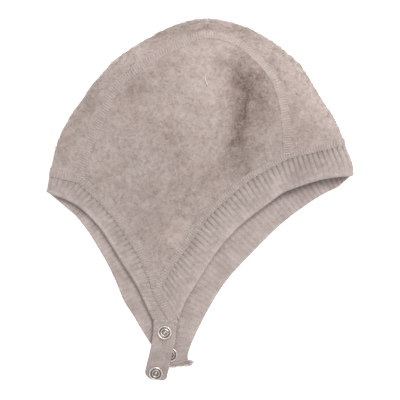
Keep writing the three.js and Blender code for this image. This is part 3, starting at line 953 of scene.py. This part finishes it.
def tab(name, surface, start, columns, rows, ribs_across, node):
    u, v = np.meshgrid(np.linspace(start, 1, columns), np.linspace(0, 1, rows), indexing="ij")
    mid = surface(u, v)
    if ribs_across:
        phase = (u - start) * run_length(mid[:, rows // 2])[-1] / (1 - start) / RIB_PITCH
        relief = 0.14 * rib_ridge(phase) * (1 - smooth(u, 0.2, 0.9))
    else:
        phase = v * run_length(mid[columns // 2])[-1] / RIB_PITCH * 1.5
        relief = 0.05 * rib_ridge(phase) + 0.12 * noise(mid, 8)
    cloth = Cloth(surface, u, v, RIB_THICK, 1, relief, 0 * relief)
    piece = cloth.piece(name, rib_knit, phase, np.full_like(u, TAB_DARKNESS))
    ride(piece, "wool_rib", node)


tab(
    "far_tab_rib", far_tab,
    start=-0.13, columns=60, rows=60, ribs_across=True, node="far_tab",
)
tab(
    "near_tab_rib", near_tab,
    start=0, columns=90, rows=40, ribs_across=False, node="near_tab",
)


# Snaps
def snap(name, surface):
    """A ring snap: a rolled outer ring, a groove, an inner ring and a dimple."""
    along, across = SNAPS[name]
    step = 1e-3
    a, b = np.array([along, along + step, along]), np.array([across, across, across + step])
    seat_point, ahead, beside = surface(a, b)
    normal = unit(np.cross(ahead - seat_point, beside - seat_point))
    normal = normal * np.sign(normal[2])
    side = unit(np.cross([0, 1, 0], normal))
    seat = RIB_THICK / 2 + REST_GAP
    crest = seat + SNAP_RING_HEIGHT
    face = Curve([
        [0, crest - 0.35],
        [0.12 * SNAP_RADIUS, crest - 0.4],
        [0.22 * SNAP_RADIUS, seat + 0.15],
        [0.36 * SNAP_RADIUS, seat + 0.1],
        [0.45 * SNAP_RADIUS, crest - 0.15],
        [0.55 * SNAP_RADIUS, crest - 0.15],
        [0.62 * SNAP_RADIUS, seat + 0.1],
        [0.73 * SNAP_RADIUS, seat + 0.05],
        [0.80 * SNAP_RADIUS, crest - 0.1],
        [0.89 * SNAP_RADIUS, crest],
        [0.98 * SNAP_RADIUS, crest - 0.35],
        [1.00 * SNAP_RADIUS, seat + 0.2],
        [0.94 * SNAP_RADIUS, seat - 0.1],
    ]).at(np.linspace(0, 1, 73))
    back = [
        [SNAP_NECK_RADIUS, seat - 0.1],
        [SNAP_NECK_RADIUS, -seat],
        [SNAP_BASE_RADIUS - 0.3, -seat],
        [SNAP_BASE_RADIUS, -seat - 0.3],
        [SNAP_BASE_RADIUS, -seat - SNAP_BASE_HEIGHT + 0.3],
        [SNAP_BASE_RADIUS - 0.3, -seat - SNAP_BASE_HEIGHT],
        [0, -seat - SNAP_BASE_HEIGHT],
    ]
    profile = np.vstack([face, back])
    sides = 64
    angle = np.arange(sides) * 2 * math.pi / sides
    around = np.stack([np.cos(angle), np.sin(angle)], -1)
    rings = profile[1:-1, None, :1] * around
    heights = np.broadcast_to(profile[1:-1, None, 1:], (*rings.shape[:2], 1))
    rings = np.concatenate([rings, heights], -1)
    points = np.vstack([rings.reshape(-1, 3), [[0, 0, profile[0, 1]], [0, 0, profile[-1, 1]]]])
    index = np.arange(rings[..., 0].size).reshape(rings.shape[:2])
    top, low = len(points) - 2, len(points) - 1
    fans = [(top, i, j) for i, j in zip(index[0], np.roll(index[0], -1))]
    fans += [(low, j, i) for i, j in zip(index[-1], np.roll(index[-1], -1))]
    axes = np.stack([side, np.cross(normal, side), normal])
    # Painted shade: the low places inside the outer ring are darkened
    low_place = 1 - smooth(points[:, 2], seat + 0.1, crest - 0.3)
    inside = np.linalg.norm(points[:, :2], axis=1) < 0.93 * SNAP_RADIUS
    faces = ring_quads(index).tolist() + fans
    dark = low_place * inside
    piece = make_object(name + "_ring", points @ axes + seat_point, faces, steel, dark=dark)
    ride(piece, "snap_metal", name)


snap("near_snap_upper", near_tab)
snap("near_snap_lower", near_tab)
snap("far_snap", far_tab)


# Flat seams
class Seam:
    """A line on the cloth with its outward normal, evenly spaced, which a seam is laid along."""

    def __init__(self, points, normal, half_width, rise=SEAM_RISE):
        length = run_length(points)
        self.total = length[-1]
        self.half_width = half_width
        self.top = rise
        self.steps = np.linspace(0, self.total, max(8, round(self.total / (STITCH_PITCH / 3))))
        self.line = between(self.steps, length, points)
        raw = between(self.steps, length, normal)
        tangent = unit(np.gradient(self.line, axis=0))
        self.normal = unit(raw - tangent * (raw * tangent).sum(-1, keepdims=True))
        self.side = np.cross(self.normal, tangent)

    def at(self, along, across, rise):
        """Points at lengths along the seam, places across it and heights over its middle."""
        line, side, up = (
            between(along, self.steps, values) for values in (self.line, self.side, self.normal)
        )
        return line + side * np.asarray(across)[..., None] + up * np.asarray(rise)[..., None]

    def rise(self, along, across):
        """The height of the seam's face above the middle of its cloth."""
        q = np.abs(across) / self.half_width
        pucker = 0.08 * np.cos(2 * math.pi * along / STITCH_PITCH)
        return FLEECE_THICK / 2 + mix(self.top, -0.2, smooth(q, 0.72, 1.0)) + pucker * (1 - q ** 2)

    def strip(self, name, material):
        """The closed strip of cloth that joins the two edges."""
        q = np.array([0, 0.25, 0.5, 0.68, 0.76, 0.84, 0.92, 0.999, 1])
        q = np.concatenate([-q[:0:-1], q])
        along, across = np.meshgrid(self.steps, q * self.half_width, indexing="ij")
        rise = self.rise(along, across) + 0.05 * noise(self.at(along, across, 0 * along), 1.8)
        closed = np.ones_like(rise)
        closed[:, [0, -1]] = 0
        closed[[0, -1]] = 0
        top = self.at(along, across, rise * closed)
        bottom = self.at(along, across, -rise * closed)
        for face in (top, bottom):
            face[..., 2] = np.maximum(face[..., 2], FLOOR_CLEARANCE)
        points, faces = closed_slab(top, bottom)
        return make_object(name, points, faces[:, ::-1].tolist(), material)

    def stitches(self, paths, above):
        """Threads along paths of lengths, places across the seam and heights over its face."""
        lines, ups = [], []
        for along, across, over in paths:
            rise = self.rise(along, across) + over
            lines.append(self.at(along, across, rise))
            ups.append(self.at(along, across, rise + 1) - lines[-1])
        lines, ups = np.concatenate(lines), np.concatenate(ups)
        shown = lines[..., 2].min(1) > above
        return tubes(lines[shown], ups[shown], THREAD_RADIUS, 5)

    def starts(self):
        starts = np.arange(0.5 * STITCH_PITCH, self.total - STITCH_PITCH, STITCH_PITCH)
        return starts[:, None] + random.normal(0, 0.05 * STITCH_PITCH, (len(starts), 1))

    def ladder(self, above):
        """Two rows of stitches with rungs between them, of a thread that runs to and fro."""
        starts = self.starts()
        reach = 0.82 * self.half_width
        t = np.linspace(0, 1, 6)
        hump = 0.12 * np.sin(math.pi * t)
        paths = []
        for row in (-reach, reach):
            along = starts + STITCH_PITCH * mix(0.18, 0.74, t)
            paths.append((along, np.full_like(along, row), 1.2 * hump + 0.5 * THREAD_RADIUS))
        along = starts + STITCH_PITCH * mix(0.1, 0.3, t)
        slip = random.normal(0, 0.12, (len(starts), 1))
        across = np.broadcast_to(reach * mix(-1, 1, t), along.shape) + slip
        paths.append((along, across, hump + 0.1 * THREAD_RADIUS))
        return self.stitches(paths, above)

    def row(self, across):
        """One row of plain stitches."""
        t = np.linspace(0, 1, 6)
        along = self.starts() + STITCH_PITCH * mix(0.08, 0.8, t)
        over = 0.18 * np.sin(math.pi * t) + 0.2 * THREAD_RADIUS
        return self.stitches([(along, np.full_like(along, across), over)], -math.inf)


def surface_line(surface, u, v, outward, step=0.02):
    """A line of points on a surface, with the outward normals there."""
    point = surface(u, v)
    beside = surface(u, v + step)
    normal = np.cross(np.gradient(point, axis=0), beside - point)
    return point, unit(normal) * outward


def band_seam(surface, near_half, far_half, outward, half_width, with_lap):
    """The seam along a band's inner edge, from its near tip round the fold to its far tip."""
    first = 0.0 if with_lap else 1 - near_half.tip_at
    k = np.linspace(first, 1 + far_half.tip_at, 1601)
    edge, rim = surface(k, 0 * k), surface(k, 0 * k + 1)
    width = np.linalg.norm(rim - edge, axis=-1)
    past_tip = smooth(1 - k, near_half.tip_at - 0.06, near_half.tip_at + 0.1)
    w = past_tip * 0.9 * half_width / width
    return Seam(*surface_line(surface, k, w, outward, 0.05), half_width)


s = np.linspace(0.0, 1.0, 801)
SEAMS = {
    "near": Seam(*surface_line(near_side, s, 0 * s, -1, 0.01), SEAM_HALF),
    "far": Seam(*surface_line(far_side, s, 0 * s, 1, 0.02), SEAM_HALF),
    "front": band_seam(front_band, front_near, front_far, -1, FRONT_SEAM_HALF, False),
    "nape": band_seam(nape_band, nape_near, nape_far, 1, SEAM_HALF, True),
}
for name, seam in SEAMS.items():
    ride(seam.strip(name + "_seam", seam_cloth), "wool_fleece")
for name in ("near", "front", "nape"):
    points, faces = SEAMS[name].ladder(FLOOR_CLEARANCE + THREAD_RADIUS)
    ride(make_object(name + "_seam_threads", points, faces, sewing_thread), "wool_fleece")


def chin_join(name, surface, half_width, rise):
    """A narrow strip over the joint between the bands and a tab."""
    b = np.linspace(0.02, 0.98, 101)
    point, ahead = surface(0 * b, b), surface(0 * b + 0.02, b)
    normal = unit(np.cross(np.gradient(point, axis=0), ahead - point))
    normal = normal * np.sign(normal[:, 2:])
    join = Seam(point, normal, half_width, rise - (FLEECE_THICK - RIB_THICK) / 2)
    ride(join.strip(name + "_join", rib_knit_plain), "wool_rib")
    return join


near_join = chin_join("near_tab", near_tab, 1.7, 0.25)
chin_join("far_tab", far_tab, 1.6, 0.1)
for row, across in (("upper", 0.9), ("lower", -0.5)):
    points, faces = near_join.row(across)
    ride(make_object(f"tab_stitches_{row}", points, faces, sewing_thread), "wool_rib")


# Nap
def nap(name, cloth, count, length, radius, stand, clear=0.0, steepest=1.0):
    """Short wool fibres on the cloth's outer face, this clear of its edges and no flatter."""
    top, normal = cloth.top, cloth.normal
    along, across = top[1:, :-1] - top[:-1, :-1], top[:-1, 1:] - top[:-1, :-1]
    cells = np.linalg.norm(np.cross(along, across), axis=-1)
    cells = cells * (cloth.to_edge[:-1, :-1] >= clear) * (np.abs(normal[:-1, :-1, 2]) <= steepest)
    chosen = random.choice(cells.size, count, p=(cells / cells.sum()).ravel())
    i, j = np.unravel_index(chosen, cells.shape)
    a, b = random.random((2, count, 1))
    root = mix(mix(top[i, j], top[i + 1, j], a), mix(top[i, j + 1], top[i + 1, j + 1], a), b)
    up = normal[i, j]
    swirl = 2 * math.pi * (noise(root, 14) + 0.5 * noise(root, 5)) + random.normal(0, 0.7, count)
    heading = np.stack([np.cos(swirl), np.sin(swirl), 0 * swirl], -1)
    flat = unit(heading - up * (heading * up).sum(-1, keepdims=True))
    long = length * random.uniform(0.5, 1.5, (count, 1))
    tilt = stand * random.uniform(0.4, 1.7, (count, 1))
    middle = root + long * (0.5 * flat + 0.45 * tilt * up)
    bend = random.normal(0, 0.25, (count, 1)) * np.cross(up, flat)
    tip = root + long * (flat + bend + 0.7 * tilt * up)
    paths = np.stack([root - 0.15 * up, middle, tip], 1)
    above = paths[:, :, 2].min(1) > FLOOR_CLEARANCE + radius
    paths, up = paths[above], up[above]
    ups = np.broadcast_to(up[:, None], paths.shape)
    points, faces = tubes(paths, ups, [radius, 0.8 * radius, 0.25 * radius], 3)
    # The fibres carry the painted shade of the cloth under them
    dark = np.repeat(cloth.dark[i, j][above], 3 * 3)
    ride(make_object(name, points, faces, nap_yarn, dark=dark), "wool_fleece")


nap("near_side_nap", near_cloth, 7500, 1.9, 0.06, 0.4, clear=NAP_CLEAR)
nap("centre_nap", centre_cloth, 9000, 1.9, 0.06, 0.4, clear=NAP_CLEAR)
nap("fold_nap", centre_cloth, 3500, 1.4, 0.035, 1.1, steepest=0.6)
nap("nape_fuzz", nape_cloth, 3000, 1.1, 0.045, 0.4)
nap("front_fuzz", front_cloth, 4000, 1.1, 0.045, 0.4)


def fray(name, count):
    """Loose fibres along the raw end of the far tab, most of them at its corner."""
    b = random.random((count, 1)) ** 0.35
    root = far_tab(0 * b[:, 0] + 1, b[:, 0]) + random.normal(0, 0.35, (count, 3)) * [1, 1, 0.8]
    angle = mix(-1.5, -0.35, b[:, 0] ** 3) + random.normal(0, 0.45, count)
    heading = np.stack([np.cos(angle), np.sin(angle), random.normal(0, 0.25, count)], -1)
    long = random.uniform(1.2, 3.6, (count, 1)) * mix(0.4, 1.2, b ** 4)
    curl = random.normal(0, 0.35, (count, 3)) * long
    middle, tip = root + 0.5 * long * heading + 0.4 * curl, root + long * heading + curl
    paths = np.stack([root - 0.8 * heading, middle, tip], 1)
    paths[..., 2] = np.maximum(paths[..., 2], 0.15)
    points, faces = tubes(paths, np.array([0.0, 0.1, 1.0]), [0.11, 0.09, 0.04], 4)
    ride(make_object(name, points, faces, frayed_yarn), "wool_rib")


fray("far_tab_fray", 700)

# One pale lint fibre lies on the crown
LINT_PLAN = [[3.6, 84.0], [3.9, 82.4], [4.8, 80.6], [5.2, 79.2]]
lint_plan = Curve(LINT_PLAN).at(np.linspace(0, 1, 9))
lint_line = with_height(lint_plan, near_height) + [0, 0, FLEECE_THICK / 2 + 0.7]
points, faces = tubes(lint_line[None], np.array([0.0, 0.1, 1.0]), 0.22, 6)
ride(make_object("lint_fibre", points, faces, lint), "wool_fleece")


# Stage, lights and camera, in metres and watts except where said
FLOOR_HALF = 3.0
FLOOR_GLOW = 0.7
SKY_STRENGTH = 0.78
KEY_WIDTH = 0.7
KEY_POWER = 13
KEY_PLACE = 0.45, 0.65, 1.2


def aim(thing):
    """Turns a lamp towards the middle of the frame."""
    direction = -np.array(thing.location)
    thing.rotation_euler = (
        math.atan2(math.hypot(direction[0], direction[1]), -direction[2]),
        0,
        math.atan2(direction[1], direction[0]) - math.pi / 2,
    )


floor_finish = Finish("floor_paper", 0.9)
grain = floor_finish.noise(floor_finish.place(), 4, 3.0)
floor_finish.set(floor_finish.shader, **{
    "Base Color": floor_finish.ramp(grain, [(0.3, (0.93, 0.93, 0.93)), (0.7, (0.95, 0.95, 0.95))]),
    "Emission Color": (1, 1, 1, 1),
    "Emission Strength": FLOOR_GLOW,
})
floor_mesh = bpy.data.meshes.new("floor")
corners = [(x * FLOOR_HALF, y * FLOOR_HALF, 0) for x, y in ((-1, -1), (1, -1), (1, 1), (-1, 1))]
floor_mesh.from_pydata(corners, [], [(0, 1, 2, 3)])
floor_mesh.materials.append(floor_finish.material)
add("floor", floor_mesh)

world = bpy.data.worlds.new("studio")
bpy.context.scene.world = world
world.use_nodes = True
background = world.node_tree.nodes["Background"]
background.inputs["Color"].default_value = (1, 1, 1, 1)
background.inputs["Strength"].default_value = SKY_STRENGTH

key = bpy.data.lights.new("key", "AREA")
key.shape = "DISK"
key.size = KEY_WIDTH
key.energy = KEY_POWER
lamp = add("key", key)
lamp.location = KEY_PLACE
aim(lamp)

# The photograph is 400 pixels wide and covers 280 mm at the height of the cloth
CAMERA_AWAY = 2400
VIEW_WIDTH = 280
VIEW_LEVEL = 5
VIEW_MIDDLE = 0.1
camera_data = bpy.data.cameras.new("camera")
camera_data.sensor_width = 36
camera_data.lens = camera_data.sensor_width * CAMERA_AWAY / VIEW_WIDTH
camera = add("camera", camera_data)
camera.location = metres([VIEW_MIDDLE, 0, CAMERA_AWAY + VIEW_LEVEL])
bpy.context.scene.camera = camera
bpy.context.scene.view_settings.view_transform = "Standard"
